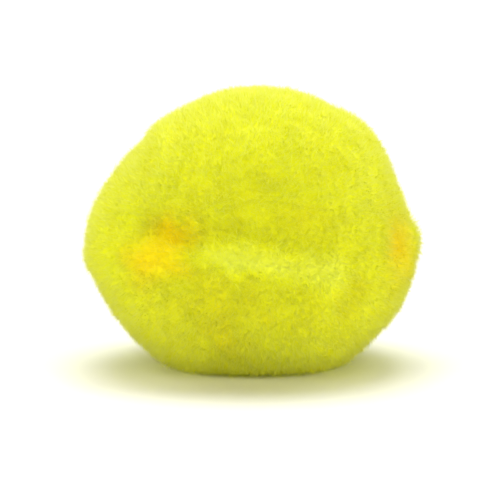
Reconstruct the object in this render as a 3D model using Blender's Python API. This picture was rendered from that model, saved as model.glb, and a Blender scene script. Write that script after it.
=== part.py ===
"""Yarn pom pom: a lumpy ball of cut yarn, 50 mm across, that stands on a small flat spot.

Run it with: blender --background --python part.py

Metres, +Z up. The origin is the middle of the spot that the ball stands on, and its front faces -Y.
The ball is one bundle of cut yarn, tied round its middle. It is built as 294 four-sided locks that
stand apart and share their roots in a small heart. How far the locks reach in each direction sets
the ball's outline, the crease where the hidden tie pulls the pile in, and the hollows at its ends.
"""

import math
import random

import bmesh
import bpy
from mathutils import Matrix, Vector

MM = 0.001

# ---- driving sizes -------------------------------------------------------------------------------
DEPTH = 46.0 * MM  # front to back
HEART_HEIGHT = 19.2 * MM  # of the point that the locks radiate from, over the floor
HEART_RADIUS = 11.0 * MM  # of the tied heart that the roots are fused into

# How far the pile's edge is from the heart as the ball is seen from the front, in mm. The angle
# runs from the ball's right side, over its top, to its left side and on under it, in degrees.
OUTLINE = [
    # angle, reach
    (0, 24.5),
    (20, 23.5),
    (40, 24.2),
    (50, 24.1),
    (60, 23.3),
    (80, 22.8),
    (100, 22.5),
    (120, 22.2),
    (130, 22.5),
    (140, 22.0),
    (160, 23.4),
    (180, 25.5),
    (200, 24.2),
    (220, 23.6),
    (240, 23.6),
    (260, 22.7),
    (280, 22.7),
    (300, 23.9),
    (320, 24.2),
    (340, 25.1),
]

# The crease that the tie leaves round the ball. Azimuth 0 is the front and 90 the ball's right
# side; elevation is up from the heart; both in degrees. Depth is in mm, half width in degrees.
CREASE = [
    # azimuth, elevation, depth, half width
    (-165, 1, 0.9, 6),
    (-135, -4, 0.9, 6),
    (-105, -2, 0.5, 6),
    (-75, 4, 0.3, 6),
    (-50, 10, 0.4, 5),
    (-30, 8, 0.6, 5),
    (-12, 11, 0.7, 5),
    (0, 10.5, 0.9, 5),
    (12, 7, 0.9, 5),
    (28, 2, 0.6, 5),
    (45, -1, 0.3, 5),
    (68, 0, 0.4, 5),
    (90, 2, 0.2, 6),
    (120, 3, 0.7, 6),
    (150, 4, 0.9, 6),
]
CREASE_LIP = 1.00  # how much of the crease's depth its lower edge stands proud
LIP_BELOW = 1.8  # how far under the crease's middle that edge is, in half widths of the crease
LIP_SPREAD = 1.1  # and how far it spreads

# Mounds and hollows of the pile: where each is, how far it rises, and how far it spreads.
LUMPS = [
    # azimuth, elevation, rise in mm, wide, tall
    (-31, 9, -1.1, 9, 6),  # left hollow, at the end of the crease
    (-43, 13, -0.5, 8, 6),  # its far end
    (-23, 4, -0.6, 4, 5),  # its near end, beside the front mound
    (-37, -3, 0.4, 8, 5),  # below it
    (-48, -10, -0.4, 7, 7),
    (-64, 1, 0.5, 14, 18),  # left mound
    (66, 0, -0.8, 6, 8),  # right hollow
    (92, -1, 1.4, 10, 7),  # knob beside it, on the right side
    (4, -2, 0.3, 24, 6),  # front mound, under the crease
    (2, -14, -0.6, 24, 7),  # dip under it
    (17, -19, -0.3, 7, 6),
    (30, -13, 0.4, 4, 11),  # its right edge
    (38, -13, -0.5, 5, 11),  # valley beside that edge
    (58, -19, 0.4, 12, 14),
    (-14, -30, -0.5, 9, 7),
    (6, 28, -0.4, 8, 4),  # furrow over the crease
    (20, 22, -0.35, 8, 4),
    (-24, 23, -0.35, 10, 4),
    (10, 43, 0.3, 24, 12),
    (-52, 38, 0.4, 14, 14),
    (60, 40, 0.4, 14, 14),
    (30, 66, 0.3, 30, 12),
    (-118, 24, 0.8, 16, 14),
    (-96, -30, 0.4, 16, 14),
    (-146, -8, -1.1, 10, 8),
    (-172, 34, 0.7, 20, 14),
    (178, -12, 0.8, 26, 11),  # back mound, under the crease
    (-140, 52, -0.6, 14, 10),
    (-160, -30, 0.6, 20, 14),
    (170, 4, -0.9, 9, 8),
    (150, -26, 0.7, 16, 12),
    (140, 30, 0.8, 16, 14),
    (112, 48, -0.6, 14, 12),
    (112, -22, 0.4, 14, 12),
    (124, -2, -0.7, 8, 7),
]

# ---- the locks of yarn ---------------------------------------------------------------------------
LOCKS_ACROSS = 7  # locks along each edge of the grid that lays them out, so 6 x 7 x 7 in all
LAYOUT_TURN = math.radians(24)  # of that grid, about the upright axis
ROOT_GAP = 0.34 * MM  # between two locks where they leave the heart
SCATTER = 0.36 * MM  # how far a lock's corners stray from the even layout, at the heart
SHOULDER = 1.3 * MM  # from a lock's full width to the edge of its tip
CROWN = 0.3 * MM  # from the edge of its tip to the tip's middle
TIP_WIDTH = 0.70  # share of its width that a lock keeps at the edge of its tip
UNEVENNESS = 0.28 * MM  # how much longer or shorter one lock is than the next
TIP_TURN = math.radians(12)  # how far a tip is turned at most
SEED = 11

# How the locks lean, all together: each row is one wave of the lean.
LEAN = [
    # along, across, waves, shift, how far as a share of the lock's length
    ((1, 0, 0), (0.2, 0.9, 0.4), 1.3, 0.6, 0.05),
    ((0, 1, 0), (0.8, -0.3, 0.5), 1.6, 2.1, 0.05),
    ((0, 0, 1), (-0.6, 0.7, 0.4), 1.4, 4.0, 0.04),
]

YARN_COLOUR = (0.80, 0.83, 0.05, 1.0)
YARN_ROUGHNESS = 0.95


def clear_scene():
    for old in list(bpy.data.objects):
        bpy.data.objects.remove(old, do_unlink=True)


# ---- how far the pile reaches --------------------------------------------------------------------
def round_the_circle(table, column, degrees):
    """The table's column at an angle, on a smooth closed curve through its rows. The first column
    holds the angles, which rise and cover the circle. Between two rows the curve is a cubic whose
    slope at each row is that of the line between the rows on either side."""
    angles = [row[0] for row in table]
    values = [row[column] for row in table]
    count = len(table)
    degrees = (degrees - angles[0]) % 360 + angles[0]
    here = max(i for i in range(count) if angles[i] <= degrees)
    spots = []
    for step in (-1, 0, 1, 2):
        turns, row = divmod(here + step, count)
        spots.append((angles[row] + 360 * turns, values[row]))
    (a0, v0), (a1, v1), (a2, v2), (a3, v3) = spots
    span = a2 - a1
    slope1 = (v2 - v0) / (a2 - a0) * span
    slope2 = (v3 - v1) / (a3 - a1) * span
    t = (degrees - a1) / span
    return (
        (2 * t**3 - 3 * t**2 + 1) * v1
        + (t**3 - 2 * t**2 + t) * slope1
        + (3 * t**2 - 2 * t**3) * v2
        + (t**3 - t**2) * slope2
    )


def bump(offset, spread):
    """1 at the middle of a mound, falling off smoothly to either side."""
    return math.exp(-((offset / spread) ** 2))


def turned(degrees):
    """The same angle, from -180 to 180."""
    return (degrees + 180) % 360 - 180


def crease_relief(azimuth, elevation):
    """The tie's crease, in mm: a valley with a lip under it."""
    middle, depth, half = (round_the_circle(CREASE, c, azimuth) for c in (1, 2, 3))
    up = elevation - middle
    lip = bump(up + LIP_BELOW * half, LIP_SPREAD * half)
    return depth * (CREASE_LIP * lip - bump(up, half))


def lump_relief(azimuth, elevation):
    """All the mounds and hollows together, in mm."""
    level = math.cos(math.radians(elevation))
    return sum(
        rise * bump(turned(azimuth - az) * level, wide) * bump(elevation - el, tall)
        for az, el, rise, wide, tall in LUMPS
    )


def azimuth_and_elevation(direction):
    """A direction in degrees: round from the front, and up from level."""
    x, y, z = direction
    azimuth = math.degrees(math.atan2(x, -y))
    elevation = math.degrees(math.asin(max(-1.0, min(1.0, z))))
    return azimuth, elevation


def pile_reach(direction):
    """How far the pile reaches from the heart in a direction. The outline seen from the front
    turns into half the depth as the direction turns to the front or the back, and the crease and
    the lumps are added to it."""
    x, y, z = direction
    rim = round_the_circle(OUTLINE, 1, math.degrees(math.atan2(z, x))) * MM
    shape = math.sqrt(rim**2 * (1 - y**2) + (DEPTH / 2) ** 2 * y**2)
    azimuth, elevation = azimuth_and_elevation(direction)
    relief = crease_relief(azimuth, elevation) + lump_relief(azimuth, elevation)
    return shape + relief * MM


def down_to_floor(direction, reach):
    """A lock that points at the floor ends level on it, so it is shorter."""
    if direction.z >= 0:
        return reach
    return min(reach, HEART_HEIGHT / -direction.z)


# ---- where the locks grow ------------------------------------------------------------------------
def even_direction(point):
    """A direction for a point on the cube from -1 to 1, spread evenly over each of its sides."""
    even = Vector([math.tan(c * math.pi / 4) for c in point]).normalized()
    return Matrix.Rotation(LAYOUT_TURN, 3, "Z") @ even


def along_the_crease(direction):
    """Brings the upper edge of the layout's middle row onto the crease, which so runs between two
    rows of locks. The other rows follow it less and less."""
    azimuth, elevation = azimuth_and_elevation(direction)
    level = math.cos(math.radians(elevation))
    half_row = 45 / LOCKS_ACROSS
    elevation += (round_the_circle(CREASE, 1, azimuth) - half_row) * level**2
    level = math.cos(math.radians(elevation))
    return Vector(
        (
            level * math.sin(math.radians(azimuth)),
            -level * math.cos(math.radians(azimuth)),
            math.sin(math.radians(elevation)),
        )
    )


def scatter(direction, dice):
    """The direction, moved a little along the heart's surface."""
    stray = Vector([dice.uniform(-1, 1) for _ in range(3)]) * (SCATTER / HEART_RADIUS)
    return (direction + stray - direction * stray.dot(direction)).normalized()


def leaning(direction):
    """Where a lock with this direction at its root points at its tip."""
    tip = direction.copy()
    for along, across, waves, shift, share in LEAN:
        swing = math.sin(waves * math.pi * direction.dot(Vector(across)) + shift)
        tip += Vector(along) * (swing * share * (1 - direction.z**4))
    return tip.normalized()


# ---- the pile ------------------------------------------------------------------------------------
def grow(bm, face, roots, width, turn, reach_of):
    """Extrudes a lock's end face outwards. Its corners point the way the root's corners do, drawn
    in to the lock's axis by width and turned about it, and go as far out as reach_of says."""
    end = bmesh.ops.extrude_discrete_faces(bm, faces=[face])["faces"][0]
    axis = sum(roots, Vector()).normalized()
    twist = Matrix.Rotation(turn, 3, axis)
    for vert, root in zip(end.verts, roots):
        direction = leaning((axis + twist @ (root - axis) * width).normalized())
        vert.co = direction * reach_of(direction)
    return end


def lock(bm, root, dice):
    """One lock of yarn: out from its root, then a shoulder, then a tip with a low crown."""
    roots = [vert.co.normalized() for vert in root.verts]
    longer = dice.uniform(-UNEVENNESS, UNEVENNESS)
    turn = dice.uniform(-TIP_TURN, TIP_TURN)

    def tip(direction):
        return down_to_floor(direction, pile_reach(direction) + longer)

    def shoulder(direction):
        return tip(direction) - SHOULDER

    def edge(direction):
        return down_to_floor(direction, pile_reach(direction) + longer - CROWN)

    end = grow(bm, root, roots, 1.0, 0.0, shoulder)
    end = grow(bm, end, roots, TIP_WIDTH, turn, edge)
    middle = leaning(sum(roots, Vector()).normalized())
    crown = bmesh.ops.poke(bm, faces=[end])["verts"][0]
    crown.co = middle * tip(middle)


def pile_mesh():
    """The heart with every lock on it, as one closed surface with its origin on the floor."""
    dice = random.Random(SEED)
    bm = bmesh.new()
    bmesh.ops.create_cube(bm, size=2.0)
    bmesh.ops.subdivide_edges(
        bm, edges=bm.edges[:], cuts=LOCKS_ACROSS - 1, use_grid_fill=True
    )
    for vert in bm.verts:
        laid_out = along_the_crease(even_direction(vert.co))
        vert.co = scatter(laid_out, dice) * HEART_RADIUS
    roots = bm.faces[:]
    bmesh.ops.inset_individual(bm, faces=roots, thickness=ROOT_GAP / 2)
    for root in roots:
        lock(bm, root, dice)
    bmesh.ops.translate(bm, verts=bm.verts[:], vec=(0.0, 0.0, HEART_HEIGHT))
    bmesh.ops.recalc_face_normals(bm, faces=bm.faces[:])
    mesh = bpy.data.meshes.new("yarn_pile")
    bm.to_mesh(mesh)
    bm.free()
    return mesh


def yarn_material():
    material = bpy.data.materials.new("lemon_yarn")
    material.use_nodes = True
    shader = material.node_tree.nodes["Principled BSDF"]
    shader.inputs["Base Color"].default_value = YARN_COLOUR
    shader.inputs["Roughness"].default_value = YARN_ROUGHNESS
    shader.inputs["Metallic"].default_value = 0.0
    return material


clear_scene()
pile = bpy.data.objects.new("yarn_pile", pile_mesh())
pile.data.materials.append(yarn_material())
bpy.context.scene.collection.objects.link(pile)
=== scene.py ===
# %% [markdown]
# # A yarn pom pom
# A craft pom pom is a bundle of soft yarn that is tied tightly round its middle, cut, brushed open
# and trimmed to a ball. What shows is the pile: thousands of fine cut fibres that all point away
# from the tie. The tie itself is lost in the pile, but it pulls a crease into the ball, and the
# pile stands in mounds on either side. This lesson dresses a plain solid of that ball in its pile.

# %% Load the solid ball
import math

import bpy
import numpy as np
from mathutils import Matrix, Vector


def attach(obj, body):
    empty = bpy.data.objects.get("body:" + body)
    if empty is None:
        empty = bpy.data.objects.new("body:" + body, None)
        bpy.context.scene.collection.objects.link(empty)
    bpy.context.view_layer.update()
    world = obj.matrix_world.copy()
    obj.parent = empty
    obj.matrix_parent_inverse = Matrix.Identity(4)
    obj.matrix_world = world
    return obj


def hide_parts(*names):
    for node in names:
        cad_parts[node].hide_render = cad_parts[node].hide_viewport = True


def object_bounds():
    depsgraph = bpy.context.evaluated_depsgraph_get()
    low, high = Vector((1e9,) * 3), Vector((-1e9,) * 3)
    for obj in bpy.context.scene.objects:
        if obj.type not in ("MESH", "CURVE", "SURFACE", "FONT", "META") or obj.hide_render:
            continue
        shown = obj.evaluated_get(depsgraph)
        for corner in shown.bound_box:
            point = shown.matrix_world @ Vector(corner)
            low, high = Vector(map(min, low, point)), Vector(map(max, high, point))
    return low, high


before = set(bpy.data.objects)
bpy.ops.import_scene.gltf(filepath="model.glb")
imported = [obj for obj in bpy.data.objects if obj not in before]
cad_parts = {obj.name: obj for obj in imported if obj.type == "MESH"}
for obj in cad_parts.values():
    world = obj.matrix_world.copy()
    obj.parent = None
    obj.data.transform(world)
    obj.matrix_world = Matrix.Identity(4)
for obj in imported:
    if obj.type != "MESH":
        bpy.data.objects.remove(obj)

cad_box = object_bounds()
MM = 0.001
print("The solid reaches from", cad_box[0], "to", cad_box[1])

# %% [markdown]
# ## The shape of the ball
# On a real pom pom every fibre starts at the tie, so the ball's shape is one number for each
# direction: how far the pile reaches. It could be sculpted by hand, or simulated. Here it is
# worked out from three short tables: the outline seen from the front, the crease that the tie
# leaves, and the mounds and hollows. They are the tables that the solid was made from, so the
# pile and the solid agree from every side.

# %% Driving sizes
DEPTH = 46.0 * MM  # front to back
HEART_HEIGHT = 19.2 * MM  # of the point that the fibres radiate from, over the floor
HEART = np.array([0.0, 0.0, HEART_HEIGHT])

OUTLINE = np.array([
    # angle from the right side, over the top, in degrees; reach from the heart, in mm
    (0, 24.5), (20, 23.5), (40, 24.2), (50, 24.1), (60, 23.3), (80, 22.8),
    (100, 22.5), (120, 22.2), (130, 22.5), (140, 22.0), (160, 23.4), (180, 25.5),
    (200, 24.2), (220, 23.6), (240, 23.6), (260, 22.7), (280, 22.7), (300, 23.9),
    (320, 24.2), (340, 25.1),
])

CREASE = np.array([
    # azimuth from the front to the right, elevation, both in degrees; depth in mm; half width
    (-165, 1, 0.9, 6), (-135, -4, 0.9, 6), (-105, -2, 0.5, 6), (-75, 4, 0.3, 6),
    (-50, 10, 0.4, 5), (-30, 8, 0.6, 5), (-12, 11, 0.7, 5), (0, 10.5, 0.9, 5),
    (12, 7, 0.9, 5), (28, 2, 0.6, 5), (45, -1, 0.3, 5), (68, 0, 0.4, 5),
    (90, 2, 0.2, 6), (120, 3, 0.7, 6), (150, 4, 0.9, 6),
])
CREASE_LIP = 1.00  # how much of the crease's depth its lower edge stands proud
LIP_BELOW = 1.8  # how far under the crease's middle that edge is, in half widths of the crease
LIP_SPREAD = 1.1  # and how far it spreads

LUMPS = [
    # azimuth, elevation, rise in mm, wide, tall
    (-31, 9, -1.1, 9, 6),  # left hollow, at the end of the crease
    (-43, 13, -0.5, 8, 6),  # its far end
    (-23, 4, -0.6, 4, 5),  # its near end, beside the front mound
    (-37, -3, 0.4, 8, 5),  # below it
    (-48, -10, -0.4, 7, 7),
    (-64, 1, 0.5, 14, 18),  # left mound
    (66, 0, -0.8, 6, 8),  # right hollow
    (92, -1, 1.4, 10, 7),  # knob beside it, on the right side
    (4, -2, 0.3, 24, 6),  # front mound, under the crease
    (2, -14, -0.6, 24, 7),  # dip under it
    (17, -19, -0.3, 7, 6),
    (30, -13, 0.4, 4, 11),  # its right edge
    (38, -13, -0.5, 5, 11),  # valley beside that edge
    (58, -19, 0.4, 12, 14),
    (-14, -30, -0.5, 9, 7),
    (6, 28, -0.4, 8, 4),  # furrow over the crease
    (20, 22, -0.35, 8, 4),
    (-24, 23, -0.35, 10, 4),
    (10, 43, 0.3, 24, 12),
    (-52, 38, 0.4, 14, 14),
    (60, 40, 0.4, 14, 14),
    (30, 66, 0.3, 30, 12),
    (-118, 24, 0.8, 16, 14),
    (-96, -30, 0.4, 16, 14),
    (-146, -8, -1.1, 10, 8),
    (-172, 34, 0.7, 20, 14),
    (178, -12, 0.8, 26, 11),  # back mound, under the crease
    (-140, 52, -0.6, 14, 10),
    (-160, -30, 0.6, 20, 14),
    (170, 4, -0.9, 9, 8),
    (150, -26, 0.7, 16, 12),
    (140, 30, 0.8, 16, 14),
    (112, 48, -0.6, 14, 12),
    (112, -22, 0.4, 14, 12),
    (124, -2, -0.7, 8, 7),
]
print(len(OUTLINE), "points on the outline,", len(CREASE), "along the crease,", len(LUMPS), "lumps")

# %% [markdown]
# ## How far the pile reaches
# A trimmed pom pom is never quite round, and this one is a little wider than it is deep or high.
# The ball could be modelled first and measured afterwards, face by face. It is simpler to have one
# function that answers for many directions at once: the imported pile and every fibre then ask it
# how far they may go. It adds up three smooth parts, so no edge shows anywhere.

# %% How far the pile reaches


def round_the_circle(table, column, degrees):
    """The table's column at each angle, on a smooth closed curve through its rows: between two
    rows it is a cubic whose slope at a row is that of the line between the rows beside it."""
    angles, values = table[:, 0], table[:, column]
    count = len(table)
    degrees = (degrees - angles[0]) % 360 + angles[0]
    here = np.searchsorted(angles, degrees, side="right") - 1
    spots = []
    for step in (-1, 0, 1, 2):
        turns, row = np.divmod(here + step, count)
        spots.append((angles[row] + 360 * turns, values[row]))
    (a0, v0), (a1, v1), (a2, v2), (a3, v3) = spots
    span = a2 - a1
    slope1 = (v2 - v0) / (a2 - a0) * span
    slope2 = (v3 - v1) / (a3 - a1) * span
    t = (degrees - a1) / span
    return (
        (2 * t**3 - 3 * t**2 + 1) * v1
        + (t**3 - 2 * t**2 + t) * slope1
        + (3 * t**2 - 2 * t**3) * v2
        + (t**3 - t**2) * slope2
    )


def bump(offset, spread):
    """1 at the middle of a mound, falling off smoothly to either side."""
    return np.exp(-((offset / spread) ** 2))


def turned(degrees):
    """The same angle, from -180 to 180."""
    return (degrees + 180) % 360 - 180


def azimuth_and_elevation(directions):
    """Directions in degrees: round from the front, and up from level."""
    x, y, z = directions.T
    return np.degrees(np.arctan2(x, -y)), np.degrees(np.arcsin(z.clip(-1, 1)))


def pile_reach(directions):
    """How far the pile reaches from the heart in each direction. The outline seen from the front
    turns into half the depth towards the front and the back; the crease is a valley with a lip
    under it; and each lump is a smooth bump."""
    x, y, z = directions.T
    rim = round_the_circle(OUTLINE, 1, np.degrees(np.arctan2(z, x))) * MM
    reach = np.sqrt(rim**2 * (1 - y**2) + (DEPTH / 2) ** 2 * y**2)
    azimuth, elevation = azimuth_and_elevation(directions)
    middle, depth, half = (round_the_circle(CREASE, c, azimuth) for c in (1, 2, 3))
    up = elevation - middle
    lip = bump(up + LIP_BELOW * half, LIP_SPREAD * half)
    relief = depth * (CREASE_LIP * lip - bump(up, half))
    level = np.cos(np.radians(elevation))
    for az, el, rise, wide, tall in LUMPS:
        relief += rise * bump(turned(azimuth - az) * level, wide) * bump(elevation - el, tall)
    return reach + relief * MM


def down_to_floor(directions, reach, clear):
    """The reach, cut short where it would take a fibre closer to the floor than clear."""
    down = np.minimum(directions[:, 2], -1e-6)
    return np.where(directions[:, 2] < 0, np.minimum(reach, (HEART_HEIGHT - clear) / -down), reach)


print("Reach straight up, in mm:", pile_reach(np.array([[0.0, 0.0, 1.0]])) / MM)

# %% [markdown]
# ## Chance
# Cut yarn is never even: the pile gathers in small tufts, and each tuft is a little longer or
# shorter than the next. A random number for each fibre would look like static, so two kinds of
# ordered chance are used. Soft noise is a lattice of random numbers, blended in between. Tufts
# come from one random point in each cell of a lattice: a fibre belongs to the nearest.

# %% Soft noise and tufts
LATTICE = 32


def soft_noise(points, spacing, seed):
    """Noise from -1 to 1 that changes over about one spacing: random numbers at the corners of a
    lattice, blended by an S-shaped curve in between."""
    lattice = np.random.default_rng(seed).uniform(-1, 1, (LATTICE,) * 3)
    at = points / spacing
    low = np.floor(at).astype(int)
    part = at - low
    part = part * part * (3 - 2 * part)
    total = np.zeros(len(points))
    for corner in np.ndindex(2, 2, 2):
        weight = np.prod(np.where(corner, part, 1 - part), axis=1)
        total += weight * lattice[tuple(((low + corner) % LATTICE).T)]
    return total


def nearest_tuft(points, spacing, seed):
    """The middle of the tuft that each point belongs to, and a random number from -1 to 1 that is
    that tuft's own. Each cell of a lattice holds one tuft at a random place."""
    rng = np.random.default_rng(seed)
    place = rng.uniform(0, 1, (LATTICE, LATTICE, LATTICE, 3))
    own = rng.uniform(-1, 1, (LATTICE,) * 3)
    cell = np.floor(points / spacing).astype(int)
    best = np.full(len(points), np.inf)
    middle = np.zeros_like(points)
    number = np.zeros(len(points))
    for step in np.ndindex(3, 3, 3):
        beside = cell + step - 1
        key = tuple((beside % LATTICE).T)
        candidate = (beside + place[key]) * spacing
        distance = ((points - candidate) ** 2).sum(1)
        nearer = distance < best
        best[nearer] = distance[nearer]
        middle[nearer] = candidate[nearer]
        number[nearer] = own[key][nearer]
    return middle, number


def unit(vectors):
    """The same directions, one unit long."""
    return vectors / np.linalg.norm(vectors, axis=-1, keepdims=True)


print("Soft noise along a line:", soft_noise(np.linspace([0, 0, 0], [1, 1, 1], 5), 0.4, 1).round(2))

# %% [markdown]
# ## Putting points into a mesh
# Blender can make a mesh from Python lists, but with hundreds of thousands of faces that is slow.
# Whole arrays go in much faster with foreach_set, so every piece here ends in this one function.
# The UV map comes with the piece, because its material reads each fibre's tint and the place
# along it from there.

# %% From arrays to a piece
FIBRE_MAP = "OFBake"
print("The map of every piece is called", FIBRE_MAP)


def make_piece(name, points, quads, triangles, quad_uv, triangle_uv):
    """A smooth-shaded mesh object: points n x 3, faces as rows of point numbers, UVs for each
    corner of each face."""
    mesh = bpy.data.meshes.new(name)
    mesh.vertices.add(len(points))
    mesh.vertices.foreach_set("co", points.astype(np.float32).ravel())
    corners = np.concatenate([quads.ravel(), triangles.ravel()]).astype(np.int32)
    mesh.loops.add(len(corners))
    mesh.loops.foreach_set("vertex_index", corners)
    sizes = np.concatenate([np.full(len(quads), 4), np.full(len(triangles), 3)])
    starts = np.concatenate([[0], np.cumsum(sizes)[:-1]]).astype(np.int32)
    mesh.polygons.add(len(sizes))
    mesh.polygons.foreach_set("loop_start", starts)
    mesh.update(calc_edges=True)
    mesh.shade_smooth()
    layer = mesh.uv_layers.new(name=FIBRE_MAP, do_init=False)
    uv = np.concatenate([quad_uv.reshape(-1, 2), triangle_uv.reshape(-1, 2)])
    layer.uv.foreach_set("vector", uv.astype(np.float32).ravel())
    piece = bpy.data.objects.new(name, mesh)
    bpy.context.scene.collection.objects.link(piece)
    print(name, len(points), "points,", 2 * len(quads) + len(triangles), "triangles")
    return piece


# %% [markdown]
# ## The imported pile
# Deep in the ball the fibres are pressed so close that they look solid. That depth is one closed
# surface a little below the fibre ends, with the tufts in its relief. A grid of azimuth and
# elevation gives it; the two poles are single points, so that it is closed.

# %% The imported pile's surface
AROUND = 420  # columns of the grid
UPWARD = 208  # rows between the poles
PACKED_DEPTH = 0.95 * MM  # under the fibre ends
PACKED_RELIEF = 0.30 * MM
TUFT = 0.9 * MM  # across
PACKED_DOME = 0.5  # how far from its middle, in tufts, a tuft is neither high nor low
PACKED_UNEVEN = 0.3  # how much higher the highest tufts stand, beside the relief
FLOOR_CLEAR = 0.25 * MM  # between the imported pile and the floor
TUFT_SEED = 5  # the same for every piece, so that all have their tufts in the same places


def packed_points(directions):
    """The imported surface: the pile's reach, less its depth, with a hollow between tufts. The
    relief falls evenly from the middle of a tuft, and some tufts stand a little higher."""
    reach = pile_reach(directions)
    on_ball = directions * reach[:, None]
    middle, own = nearest_tuft(on_ball, TUFT, TUFT_SEED)
    apart = np.linalg.norm(on_ball - middle, axis=1) / TUFT
    reach = reach - PACKED_DEPTH + PACKED_RELIEF * (PACKED_DOME - apart + PACKED_UNEVEN * own)
    return HEART + directions * down_to_floor(directions, reach, FLOOR_CLEAR)[:, None]


def packed_pile():
    """The closed grid: x is cos(elevation) sin(azimuth), y is -cos(elevation) cos(azimuth) and z is
    sin(elevation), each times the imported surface's reach; a fan of triangles closes each pole."""
    azimuth = np.radians(np.arange(AROUND) * 360 / AROUND)
    elevation = np.radians((np.arange(UPWARD) + 1) * 180 / (UPWARD + 1) - 90)
    el, az = np.meshgrid(elevation, azimuth, indexing="ij")
    grid = np.stack([np.cos(el) * np.sin(az), -np.cos(el) * np.cos(az), np.sin(el)], -1)
    poles = np.array([[0.0, 0.0, -1.0], [0.0, 0.0, 1.0]])
    points = packed_points(np.concatenate([grid.reshape(-1, 3), poles]))

    column = np.arange(AROUND)
    after = (column + 1) % AROUND
    low = np.arange(UPWARD - 1)[:, None] * AROUND
    quads = np.stack([low + column, low + after, low + AROUND + after, low + AROUND + column], -1)
    bottom, top = AROUND * UPWARD, AROUND * UPWARD + 1
    last = (UPWARD - 1) * AROUND
    triangles = np.concatenate([
        np.stack([after, column, np.full(AROUND, bottom)], -1),
        np.stack([last + column, last + after, np.full(AROUND, top)], -1),
    ])

    left, right = column / AROUND, (column + 1) / AROUND
    below = ((np.arange(UPWARD - 1) + 1) / (UPWARD + 1))[:, None] + 0 * left
    above = below + 1 / (UPWARD + 1)
    left, right = left + 0 * below, right + 0 * below
    quad_uv = np.stack([left, below, right, below, right, above, left, above], -1)
    one_row = 1 / (UPWARD + 1)
    middle = (column + 0.5) / AROUND
    left, right, flat = column / AROUND, (column + 1) / AROUND, np.ones(AROUND)
    triangle_uv = np.concatenate([
        np.stack([right, flat * one_row, left, flat * one_row, middle, 0 * flat], -1),
        np.stack([left, 1 - flat * one_row, right, 1 - flat * one_row, middle, flat], -1),
    ])
    return make_piece("packed_pile", points, quads.reshape(-1, 4), triangles, quad_uv, triangle_uv)


packed = packed_pile()

# %% [markdown]
# ## Where fibres grow
# A brushed pom pom has no bare spots, so its fibres have to be spread evenly, but never in rows.
# Directions drawn by chance alone would leave gaps and clumps. A spiral whose turns are a golden
# angle apart is as even as seeds in a sunflower, and a small push for each direction hides its
# order.

# %% Directions spread over the ball
PUSH = 0.35  # how far chance moves a direction, beside the mean distance between two


def spread_directions(count, seed):
    """Directions spread evenly over a sphere: a spiral whose turns are a golden angle apart, each
    point moved a little by chance."""
    rng = np.random.default_rng(seed)
    number = np.arange(count) + rng.uniform(0.1, 0.9, count)
    z = 1 - 2 * number / count
    angle = number * math.pi * (3 - math.sqrt(5)) + rng.uniform(0, 2 * math.pi)
    level = np.sqrt(1 - z**2)
    spread = np.stack([level * np.cos(angle), level * np.sin(angle), z], -1)
    apart = math.sqrt(4 * math.pi / count)
    return unit(spread + rng.normal(0, 1, (count, 3)) * apart * PUSH)


even = spread_directions(1000, 1)
print("Mean of", len(even), "directions, near 0 if they are even:", even.mean(0).round(3))

# %% [markdown]
# ## One fibre, many times
# A fibre could be a hair particle or a curve, but an exported model needs real faces. So a fibre
# is a three-sided tube that tapers to a point and is closed at its root. All fibres of a kind are
# worked out at once, as one array: fibre by step along it by side.

# %% Fibres as arrays
SIDES = 3
TAPER = 0.7  # under 1, a fibre stays thick for longer and then comes to its point
FIBRE_CLEAR = FLOOR_CLEAR / 5  # between a fibre and the floor
MAP_WIDTH = 0.02  # of one fibre on the map, across
MAP_EDGE = 0.03  # kept free at the map's edges
MAP_ROOT = 0.02  # height of the root's own face on the map


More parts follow.
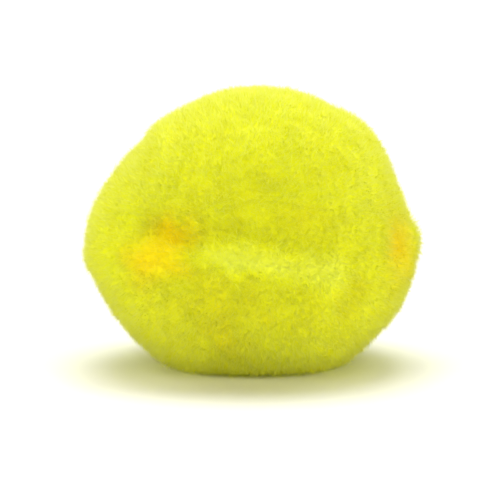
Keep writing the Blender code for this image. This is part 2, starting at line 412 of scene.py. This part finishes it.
def fibre_tubes(name, path, width, tint, seed):
    """Tubes along path, fibres x steps x 3, as wide as width at the root and pointed at the tip: a
    ring's radius is half the width times (1 - t) to the power TAPER, with t from 0 at the root to
    1. tint, from 0 to 1 for each fibre, is its place across the map; root to tip runs up it."""
    rng = np.random.default_rng(seed)
    count, steps = path.shape[:2]
    rings = steps - 1
    along = unit(path[:, -1] - path[:, 0])
    side = unit(np.cross(along, rng.normal(0, 1, (count, 3))))
    third = np.cross(along, side)
    angle = np.arange(SIDES) * 2 * math.pi / SIDES
    taper = (1 - np.arange(rings) / rings) ** TAPER
    cos, sin = np.cos(angle)[None, :, None], np.sin(angle)[None, :, None]
    outward = side[:, None] * cos + third[:, None] * sin
    radius = width[:, None, None, None] / 2 * taper[None, :, None, None]
    tube = path[:, :rings, None] + outward[:, None] * radius
    points = np.concatenate([tube.reshape(count, rings * SIDES, 3), path[:, -1:]], axis=1)
    points[..., 2] = np.maximum(points[..., 2], FIBRE_CLEAR)

    first = (np.arange(count) * (rings * SIDES + 1))[:, None]
    here = np.arange(SIDES)
    after = (here + 1) % SIDES
    rows = (np.arange(rings - 1) * SIDES)[:, None]
    quad = np.stack([rows + here, rows + after, rows + SIDES + after, rows + SIDES + here], -1)
    quads = first[..., None] + quad.reshape(1, -1, 4)
    last = (rings - 1) * SIDES
    tip = rings * SIDES
    ends = np.concatenate([
        np.stack([last + here, last + after, np.full(SIDES, tip)], -1),
        [[2, 1, 0]],
    ])
    triangles = first[..., None] + ends[None]

    # On the map each side takes half of the fibre's width, and the third side lies over both.
    spot = MAP_EDGE + (1 - 2 * MAP_EDGE - MAP_WIDTH) * tint
    across = np.array([0, 0.5, 1]) * MAP_WIDTH
    height = MAP_EDGE + (1 - 2 * MAP_EDGE) * np.arange(steps) / rings
    u_here, u_after = across[here], across[after]
    lower, upper = height[: rings - 1, None], height[1:rings, None]
    quad_uv = np.broadcast_arrays(u_here, lower, u_after, lower, u_after, upper, u_here, upper)
    quad_uv = np.repeat(np.stack(quad_uv, -1).reshape(1, 3 * (rings - 1), 4, 2), count, 0)
    quad_uv[..., 0] += spot[:, None, None]
    below_tip, tip_height = height[rings - 1], height[rings]
    tips = np.stack(np.broadcast_arrays(
        u_here, below_tip, u_after, below_tip, (u_here + u_after) / 2, tip_height
    ), -1)
    root = np.array([[across[2], height[0], across[1], height[0] + MAP_ROOT, across[0], height[0]]])
    triangle_uv = np.repeat(np.concatenate([tips, root]).reshape(1, -1, 3, 2), count, 0)
    triangle_uv[..., 0] += spot[:, None, None]
    quads, triangles = quads.reshape(-1, 4), triangles.reshape(-1, 3)
    return make_piece(name, points.reshape(-1, 3), quads, triangles, quad_uv, triangle_uv)


print("A fibre's ring has", SIDES, "points, and its tip is one point")

# %% [markdown]
# ## Which way the fibres lie
# Brushed fibres bend to the middle of their tuft, and a tuft's ends form a low dome. The lengths
# differ from place to place, which gives the ball its soft, slightly bumpy edge. A hair system
# could be combed to this by hand; here three small rules do it for all fibres alike: lean to the
# tuft, stray to one side, and curl.

# %% Where fibres go
LOCK = 2.6 * MM  # across: a lock is a group of tufts
LOCK_RISE = 0.38 * MM  # how much longer the pile is in the longest lock
LOCK_SEED = 9
TUFT_RISE = 0.20 * MM  # and in the longest tuft
TUFT_DOME = 0.6  # how far from its middle, in tufts, a tuft's fibres are neither long nor short
TUFT_PULL = 0.28  # how far a fibre's tip moves to the middle of its tuft
BEND = 1.5  # over 1, a fibre bends more near its tip than near its root
UNEVEN_CUT = 0.10 * MM  # how unevenly the fibres are trimmed
FEWEST_WAVES, MOST_WAVES = 2, 5  # of a curling fibre on its way, in radians


def fibre_paths(directions, depth, steps, seed, stray, curl, longer):
    """Paths from depth under the pile's surface to its tips. With t from 0 at the root to 1, a
    fibre's direction moves to its tuft and strays by t to the power BEND and sways by a sine of
    t; its distance from the heart grows evenly with t."""
    rng = np.random.default_rng(seed)
    count = len(directions)
    reach = pile_reach(directions)
    on_ball = directions * reach[:, None]
    middle, tuft_own = nearest_tuft(on_ball, TUFT, TUFT_SEED)
    apart = np.linalg.norm(on_ball - middle, axis=1) / TUFT
    tips = reach + LOCK_RISE * soft_noise(on_ball, LOCK / 2, LOCK_SEED)
    tips += TUFT_RISE * (tuft_own + TUFT_DOME - apart)
    tips += rng.normal(0, 1, count) * UNEVEN_CUT + longer * rng.exponential(1, count)
    t = np.linspace(0, 1, steps)[None, :, None]
    lean = TUFT_PULL * (middle - on_ball) + stray * rng.normal(0, 1, (count, 3))
    aside = unit(rng.normal(0, 1, (count, 3)))[:, None]
    sway = aside * np.sin(t * rng.uniform(FEWEST_WAVES, MOST_WAVES, (count, 1, 1)))
    way = unit(on_ball[:, None] + lean[:, None] * t**BEND + curl * sway)
    start = (reach - depth)[:, None]
    radius = start + (tips[:, None] - start) * t[..., 0]
    radius = down_to_floor(way.reshape(-1, 3), radius.ravel(), FIBRE_CLEAR).reshape(radius.shape)
    return HEART + way * radius[..., None]


straight_up = fibre_paths(np.array([[0.0, 0.0, 1.0]]), 1.7 * MM, 2, 1, 0, 0, 0)
print("One fibre on the top, from root to tip, in mm:", (straight_up / MM).round(2).tolist())

# %% [markdown]
# ## Patches of painted shade and highlight
# Near the ends of the crease this ball has an orange cast, painted into the hollows for light that
# has bounced deep in the pile. Over the crease, in a valley, under the crest, on the lower front
# and on the underside the colour is painted a little deeper and darker, as painted shade, and the
# crest of the mound under the crease is paler than the rest, as a painted highlight. The patches
# could be painted on an image, but then each new ball would need a new painting. A short table of
# soft spots does it, and noise moves their edges, so that none looks drawn. Each fibre also differs
# a little from the next one, as dyed yarn does.

# %% The yarn's tint, with painted shade and highlights
PLAIN_TINT = 0.27  # of the ball away from the patches
PATCH_WAVER = 3  # how far noise moves the patches' edges, in degrees
WAVER_SPACING = 0.12  # the turn over which that changes, in radians
WAVER_SEEDS = (21, 22)  # sideways and up
MOTTLE = 0.06  # how much the tint differs from place to place
MOTTLE_SPACING = 0.10  # the turn over which that changes, in radians
MOTTLE_SEED = 23
EACH_FIBRE = 0.03  # how much it differs from fibre to fibre
PAINTED_SHADE_AND_HIGHLIGHTS = [
    # azimuth, elevation, towards deep yellow, orange and darker, as painted shade (or paler, as a
    # painted highlight, if under 0), wide, tall
    # orange painted into the hollows, for light that has bounced deep in the pile
    (-33, 8, 0.65, 10, 7),  # the left hollow
    (-42, -4, 0.65, 9, 7),  # below it
    (-28, -2, 0.42, 8, 5),  # beside the front mound
    (70, -1, 0.70, 12, 11),  # the right hollow
    (-12, -34, 0.18, 8, 9),  # a hollow low on the front
    # painted shade over the crease
    (2, 11, 0.05, 35, 8),  # over the crease
    (21, 13, 0.07, 12, 8),
    # painted highlight: paler on the front mound's crest and its right edge
    (2, -1, -0.17, 24, 4),  # the front mound's crest
    (-11, 3, -0.14, 9, 4),  # the crest's left end
    (26, -6, -0.12, 10, 5),  # its right end
    (31, -13, -0.10, 3, 10),  # the front mound's right edge
    # painted shade in the valley, under the crest, on the lower front and on the underside
    (40, -12, 0.13, 5, 10),  # the valley beside that edge
    (-13, -8, 0.10, 12, 8),  # under the crest, on the left
    (0, -21, 0.11, 60, 11),  # the lower half of the front
    (0, -58, 0.06, 90, 14),  # the underside
]


def tint_with_painted_light(directions):
    """The place across the palette, from pale lemon at 0 to orange at 1: the yarn's own tint with
    its mottle, and the patches of painted shade and painted highlight.
    """
    azimuth, elevation = azimuth_and_elevation(directions)
    azimuth = azimuth + PATCH_WAVER * soft_noise(directions, WAVER_SPACING, WAVER_SEEDS[0])
    elevation = elevation + PATCH_WAVER * soft_noise(directions, WAVER_SPACING, WAVER_SEEDS[1])
    level = np.cos(np.radians(elevation))
    tint = PLAIN_TINT + MOTTLE * soft_noise(directions, MOTTLE_SPACING, MOTTLE_SEED)
    # the patches add painted shade and painted highlights to the yarn's own tint and mottle
    for az, el, more, wide, tall in PAINTED_SHADE_AND_HIGHLIGHTS:
        tint += more * bump(turned(azimuth - az) * level, wide) * bump(elevation - el, tall)
    return tint.clip(0, 1)


def fibre_tint_with_painted_light(directions, seed):
    """The tint of each fibre, painted shade and highlights included, which differs a little from
    the next one's.
    """
    each = np.random.default_rng(seed).normal(0, 1, len(directions)) * EACH_FIBRE
    return (tint_with_painted_light(directions) + each).clip(0, 1)


print("Tint straight up:", tint_with_painted_light(np.array([[0.0, 0.0, 1.0]])).round(2))

# %% [markdown]
# ## Three kinds of fibre
# Close up, a brushed pile is a velvet of short straight ends, with longer fibres that stand out of
# it and lean across each other, and a few that have come loose and curl. One kind alone looks
# like a toothbrush. So there is an undercoat, a coat and some strays. The first two are in two
# pieces each, so that no single mesh is heavy. One function makes them all from a row of a table.

# %% The undercoat, the coat and the stray fibres
KINDS = [
    # name, fibres, first seed, steps; then in mm: root under the surface, least width,
    # most width, stray, curl, how much longer
    ("undercoat_1", 48000, 101, 2, 1.7, 0.10, 0.16, 0.75, 0.00, 0.00),
    ("undercoat_2", 48000, 102, 2, 1.7, 0.10, 0.16, 0.75, 0.00, 0.00),
    ("coat_1", 10500, 201, 4, 1.6, 0.08, 0.12, 1.00, 0.40, 0.10),
    ("coat_2", 10500, 202, 4, 1.6, 0.08, 0.12, 1.00, 0.40, 0.10),
    ("stray_fibres", 3000, 300, 5, 1.5, 0.05, 0.08, 1.20, 0.60, 0.30),
]


def grow(name, count, seed, steps, depth, least, most, stray, curl, longer):
    """One piece of fibres. Each of its random choices has a seed of its own, ten further on."""
    growing = spread_directions(count, seed)
    paths = fibre_paths(growing, depth * MM, steps, seed + 10, stray * MM, curl * MM, longer * MM)
    widths = np.random.default_rng(seed + 20).uniform(least, most, count) * MM
    # the tint on the map carries the painted shade and highlights of the patches
    return fibre_tubes(name, paths, widths, fibre_tint_with_painted_light(growing, seed + 30), seed + 40)


fibres = [grow(*row) for row in KINDS]

# %% [markdown]
# ## Materials without clicking
# A material is a graph of nodes, and each sum in it is a node of its own. They can be placed and
# joined by hand, but then the formula is hard to read and to change. Here a small class wraps a
# node's output, so that a plus or a times in Python adds the Math node for it. Every other node
# comes from one method that takes its type, its settings and its inputs.

# %% Shader maths as Python expressions


class Wire:
    """An output on its way to the next shader node. Operators on it add Math nodes."""

    def __init__(self, recipe, socket):
        self.recipe = recipe
        self.socket = socket

    def maths(self, operation, *others):
        numbered = dict(enumerate((self, *others)))
        return self.recipe.node("ShaderNodeMath", {"operation": operation}, numbered)

    def __add__(self, other):
        return self.maths("ADD", other)

    def __sub__(self, other):
        return self.maths("SUBTRACT", other)

    def __rsub__(self, other):
        return self.recipe.node("ShaderNodeMath", {"operation": "SUBTRACT"}, {0: other, 1: self})

    def __mul__(self, other):
        return self.maths("MULTIPLY", other)

    def __pow__(self, other):
        return self.maths("POWER", other)

    __radd__ = __add__
    __rmul__ = __mul__


class Recipe:
    """The nodes of a material or of the surroundings. Every node comes from its one method."""

    def __init__(self, owner, shader):
        owner.use_nodes = True
        self.tree = owner.node_tree
        self.shader = self.tree.nodes[shader]

    def node(self, kind, settings=None, values=None, output=0):
        """Adds a node: its settings first, then its sockets' values or links."""
        made = self.tree.nodes.new(kind)
        for name, value in (settings or {}).items():
            if name == "stops":
                for stop, (position, colour) in zip(self.stops(made, len(value)), value):
                    stop.position = position
                    stop.color = colour
            else:
                setattr(made, name, value)
        self.plug(made, values or {})
        return Wire(self, made.outputs[output])

    def stops(self, ramp, count):
        while len(ramp.color_ramp.elements) < count:
            ramp.color_ramp.elements.new(1.0)
        return ramp.color_ramp.elements

    def plug(self, made, values):
        for name, value in values.items():
            if isinstance(value, Wire):
                self.tree.links.new(value.socket, made.inputs[name])
            else:
                made.inputs[name].default_value = value

    def mix(self, share, colour_a, colour_b):
        """A colour between two, by a Mix node."""
        return self.node(
            "ShaderNodeMix", {"data_type": "RGBA"}, {0: share, 6: colour_a, 7: colour_b}, output=2
        )


def new_material(name):
    """A material, and the recipe for its nodes."""
    material = bpy.data.materials.new(name)
    return material, Recipe(material, "Principled BSDF")


print("Operators of a wire: + - * **")

# %% [markdown]
# ## The yarn's colour
# The yarn is dyed a bright, slightly greenish lemon. Each fibre is painted palest at its cut tip
# and deeper towards its root, as painted light: the pale ends stand for the glow of fine ends at
# the ball's rim, and the deeper colour below them for light that has passed through more dyed yarn.
# A material for each patch would show its edge, so all fibres share one that reads the map: across
# it lies the tint, painted shade and highlights included, and up it the way from root to tip. Fine
# fibres glow at a slant, which the sheen stands for.

# %% The fibres' material
PALETTE = [
    # place across the map, colour
    (0.00, (0.91, 0.98, 0.120, 1.0)),
    (0.33, (0.88, 0.91, 0.012, 1.0)),
    # this darker stop and the orange ones after it colour the patches of painted shade
    (0.46, (0.82, 0.82, 0.010, 1.0)),
    (0.60, (0.92, 0.86, 0.006, 1.0)),
    (1.00, (1.00, 0.83, 0.002, 1.0)),
]
# painted glow: the pale colour that the fibres' ends go over to, which lightens the ball's rim
# where the ends show most
PAINTED_TIP_GLOW = (0.94, 0.97, 0.42, 1.0)
TIP_GLOW_SHARE = 0.66  # how pale the very tip is where the yarn is palest
TIP_GLOW_END = 4  # over 1, only the fibre's very end is pale
YARN_ROUGHNESS = 0.85
YARN_SPECULAR = 0.2
YARN_SHEEN = 0.25
SHEEN_ROUGHNESS = 0.5
SHEEN_TINT = (0.95, 1.0, 0.6, 1.0)


def fibre_material():
    """The tint picks a colour of the palette, painted shade and highlights included, and towards
    the tip it goes over to a pale one, a painted glow.
    """
    material, recipe = new_material("lemon_fibres")
    place = recipe.node("ShaderNodeUVMap", {"uv_map": FIBRE_MAP})
    across = recipe.node("ShaderNodeSeparateXYZ", values={"Vector": place}, output="X")
    up = recipe.node("ShaderNodeSeparateXYZ", values={"Vector": place}, output="Y")
    shaded_palette_colour = recipe.node("ShaderNodeValToRGB", {"stops": PALETTE}, {"Fac": across})
    # towards the tip the colour goes over to the painted glow, less where the patches are orange or
    # shaded
    colour = recipe.mix(up**TIP_GLOW_END * TIP_GLOW_SHARE * (1 - across), shaded_palette_colour, PAINTED_TIP_GLOW)
    recipe.plug(recipe.shader, {
        "Base Color": colour,
        "Roughness": YARN_ROUGHNESS,
        "Sheen Weight": YARN_SHEEN,
        "Sheen Roughness": SHEEN_ROUGHNESS,
        "Sheen Tint": SHEEN_TINT,
        "Specular IOR Level": YARN_SPECULAR,
    })
    return material


lemon_fibres = fibre_material()
for piece in fibres:
    piece.data.materials.append(lemon_fibres)
print(lemon_fibres.name, "is on", len(fibres), "pieces")

# %% [markdown]
# ## The imported yarn's colour
# Between the fibres one looks down on the imported pile. It is the same yarn, painted a little
# deeper in colour, as shade for lying deep in the pile, and painted darker in the gaps between
# tufts, as painted shade. It has no fibres to read a tint from, so its tint, painted shade and
# highlights included, is stored with its points. A cell pattern and noise in three dimensions give
# it tufts, the cells as painted shade and as a fine bump, the noise as random mottle in colour;
# unlike an image they have no seam.

# %% The imported pile's material
TINT_NAME = "tint"
# painted shade: the imported yarn is a little deeper in colour for lying deep in the pile
PAINTED_DEPTH_SHADE = 0.02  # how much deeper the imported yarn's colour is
# painted shade in the gaps between tufts
TUFT_SHADE = 0.06  # and how much deeper still between tufts
MOTTLE_SHADE = 0.05  # and by noise
MOTTLE_SCALE = 400.0  # how many of its spots go into a metre
MOTTLE_DETAIL = 4.0
TUFT_BUMP = 0.2 * MM
BUMP_STRENGTH = 0.5


def packed_material():
    """The stored tint, deeper by painted shade for the depth and by a share of the distance to the
    tuft's middle, and by a share of the noise, picks a colour of the fibres' palette."""
    material, recipe = new_material("packed_yarn")
    place = recipe.node("ShaderNodeTexCoord", output="Object")
    tufts = recipe.node(
        "ShaderNodeTexVoronoi", values={"Vector": place, "Scale": 1 / TUFT}, output="Distance"
    )
    mottle = recipe.node(
        "ShaderNodeTexNoise",
        values={"Vector": place, "Scale": MOTTLE_SCALE, "Detail": MOTTLE_DETAIL},
        output="Fac",
    )
    tint = recipe.node("ShaderNodeAttribute", {"attribute_name": TINT_NAME}, output="Fac")
    # painted shade for the depth and in the gaps between tufts, with random mottle
    shade = tufts * TUFT_SHADE + mottle * MOTTLE_SHADE + PAINTED_DEPTH_SHADE
    colour = recipe.node("ShaderNodeValToRGB", {"stops": PALETTE}, {"Fac": tint + shade})
    height = recipe.node(
        "ShaderNodeBump",
        values={"Strength": BUMP_STRENGTH, "Distance": TUFT_BUMP, "Height": 1 - tufts},
    )
    recipe.plug(recipe.shader, {
        "Base Color": colour,
        "Roughness": YARN_ROUGHNESS,
        "Specular IOR Level": YARN_SPECULAR,
        "Normal": height,
    })
    return material


def tint_points(piece, name):
    """Gives each point of a piece the tint of the fibres there, painted shade and highlights
    included.
    """
    points = np.zeros(3 * len(piece.data.vertices), np.float32)
    piece.data.vertices.foreach_get("co", points)
    tint = tint_with_painted_light(unit(points.reshape(-1, 3) - HEART)).astype(np.float32)
    piece.data.attributes.new(name, "FLOAT", "POINT").data.foreach_set("value", tint)


tint_points(packed, TINT_NAME)
packed.data.materials.append(packed_material())
print(packed.name, "has", packed.data.materials[0].name)

# %% [markdown]
# ## One ball
# Every piece goes where the solid ball goes, and together they stand for it, so the plain solid
# isn't shown. The pieces could be joined to one mesh, but apart each stays easy to change.

# %% Pieces and the frame
for piece in [packed, *fibres]:
    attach(piece, "root")
    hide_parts("yarn_pile")
print(1 + len(fibres), "pieces stand for the solid ball")

# %% [markdown]
# ## Floor and light
# The ball was photographed on plain white in soft light, and its shadow has no edge. Real lamps
# with cloth in front would do, but their light would fall off over the floor. Very distant lamps
# that look wide from the ball light everything alike, and their width softens the shadow. One is
# high at the back, two are high at the sides and one is overhead; two low cards of a warmer white
# light the front. The floor turns up in a curve at its edge, as studio paper does, so that no
# horizon shows behind the ball.

# %% Floor and light
FLOOR_RADIUS = 3.0
COVE = 0.3  # the curve in which the floor turns up at its edge, so that no horizon shows
COVE_SIDES = 96
COVE_STEPS = 12
LIGHT_ALL_ROUND = 0.06
BOUNCES = 16
DIFFUSE_BOUNCES = 12  # light goes from fibre to fibre many times, which makes the pile bright
WHITE = (1.0, 1.0, 1.0)
CREAM = (1.0, 0.94, 0.72)
FLOOR_GREY = 0.95
FLOOR_ROUGHNESS = 0.6
FLOOR_SPECULAR = 0.2
SOFT_LIGHTS = [
    # name, azimuth, elevation and spread in degrees, strength, colour
    ("high_back", 180, 60, 40, 0.93, WHITE),
    ("high_left", -110, 60, 40, 0.76, WHITE),
    ("high_right", 110, 60, 40, 0.75, WHITE),
    ("top", 180, 80, 35, 1.26, WHITE),
    ("left_card", -60, 17, 40, 1.50, CREAM),
    ("right_card", 54, 17, 40, 1.50, CREAM),
]


def white_floor():
    """A disc whose edge turns up in a quarter circle. Each ring of points has its own radius and
    height: out by the sine of the turn, and up by one less its cosine."""
    turn = np.radians(np.linspace(0, 90, COVE_STEPS))
    radius = FLOOR_RADIUS - COVE + COVE * np.sin(turn)
    height = COVE * (1 - np.cos(turn))
    angle = np.arange(COVE_SIDES) * 2 * math.pi / COVE_SIDES
    rings = [np.outer(radius, np.cos(angle)), np.outer(radius, np.sin(angle))]
    points = np.stack([*rings, np.repeat(height[:, None], COVE_SIDES, 1)], -1).reshape(-1, 3)
    column = np.arange(COVE_SIDES)
    after = (column + 1) % COVE_SIDES
    low = np.arange(COVE_STEPS - 1)[:, None] * COVE_SIDES
    high = low + COVE_SIDES
    cove = np.stack([high + column, high + after, low + after, low + column], -1).reshape(-1, 4)
    mesh = bpy.data.meshes.new("floor")
    mesh.from_pydata(points.tolist(), [], [column.tolist(), *cove.tolist()])
    mesh.shade_smooth()
    floor = bpy.data.objects.new("floor", mesh)
    bpy.context.scene.collection.objects.link(floor)
    material, recipe = new_material("white_floor")
    recipe.plug(recipe.shader, {
        "Base Color": (FLOOR_GREY, FLOOR_GREY, FLOOR_GREY, 1.0),
        "Roughness": FLOOR_ROUGHNESS,
        "Specular IOR Level": FLOOR_SPECULAR,
    })
    mesh.materials.append(material)


def soft_light(name, azimuth, elevation, spread, strength, colour):
    """Soft light from a direction, the same all over the floor: a far lamp that looks as wide as
    spread from the ball."""
    light = bpy.data.lights.new(name, "SUN")
    light.energy = strength
    light.color = colour
    light.angle = math.radians(spread)
    lamp = bpy.data.objects.new(name, light)
    az, el = math.radians(azimuth), math.radians(elevation)
    towards = Vector((math.cos(el) * math.sin(az), -math.cos(el) * math.cos(az), math.sin(el)))
    lamp.location = towards
    lamp.rotation_euler = towards.to_track_quat("Z", "Y").to_euler()
    bpy.context.scene.collection.objects.link(lamp)


white_floor()
world = bpy.data.worlds.new("light_all_round")
all_round = Recipe(world, "Background")
all_round.plug(all_round.shader, {"Color": (*WHITE, 1.0), "Strength": LIGHT_ALL_ROUND})
bpy.context.scene.world = world
for row in SOFT_LIGHTS:
    soft_light(*row)
print(len(SOFT_LIGHTS), "soft lights")
bpy.context.scene.view_settings.view_transform = "Standard"
bpy.context.scene.cycles.max_bounces = BOUNCES
bpy.context.scene.cycles.diffuse_bounces = DIFFUSE_BOUNCES

# %% [markdown]
# ## Camera
# The photograph looks at the front of the ball from a little above the table, and shows no strong
# perspective, so it was taken from some way off. A long lens gives the same view. The distance
# follows from how much of the picture the ball fills, and the aim from where its heart lies.

# %% Camera
CAMERA_ELEVATION = math.radians(9)
LENS_MM = 150.0
SENSOR_MM = 36.0
PHOTO_PIXELS = 500
BALL_PIXELS = 339  # the ball's width in the photograph, with its longest fibres
HEART_PIXEL = (252, 236)  # where the heart lies in it


def photo_camera():
    """A camera so far off that the ball fills its share of the picture, aimed so that the heart
    lands on its pixel."""
    width = cad_box[1].x - cad_box[0].x
    seen = width * PHOTO_PIXELS / BALL_PIXELS
    distance = seen * LENS_MM / SENSOR_MM
    back = Vector((0, -math.cos(CAMERA_ELEVATION), math.sin(CAMERA_ELEVATION)))
    up = Vector((0, math.sin(CAMERA_ELEVATION), math.cos(CAMERA_ELEVATION)))
    middle = PHOTO_PIXELS / 2
    right_by = (HEART_PIXEL[0] - middle) * seen / PHOTO_PIXELS
    up_by = (middle - HEART_PIXEL[1]) * seen / PHOTO_PIXELS
    target = Vector(HEART) - Vector((1, 0, 0)) * right_by - up * up_by
    camera = bpy.data.objects.new("camera", bpy.data.cameras.new("camera"))
    camera.data.lens = LENS_MM
    camera.data.sensor_width = SENSOR_MM
    camera.location = target + back * distance
    camera.rotation_euler = (-back).to_track_quat("-Z", "Y").to_euler()
    bpy.context.scene.collection.objects.link(camera)
    bpy.context.scene.camera = camera
    print("The camera is", round(distance, 3), "m from the ball")


photo_camera()
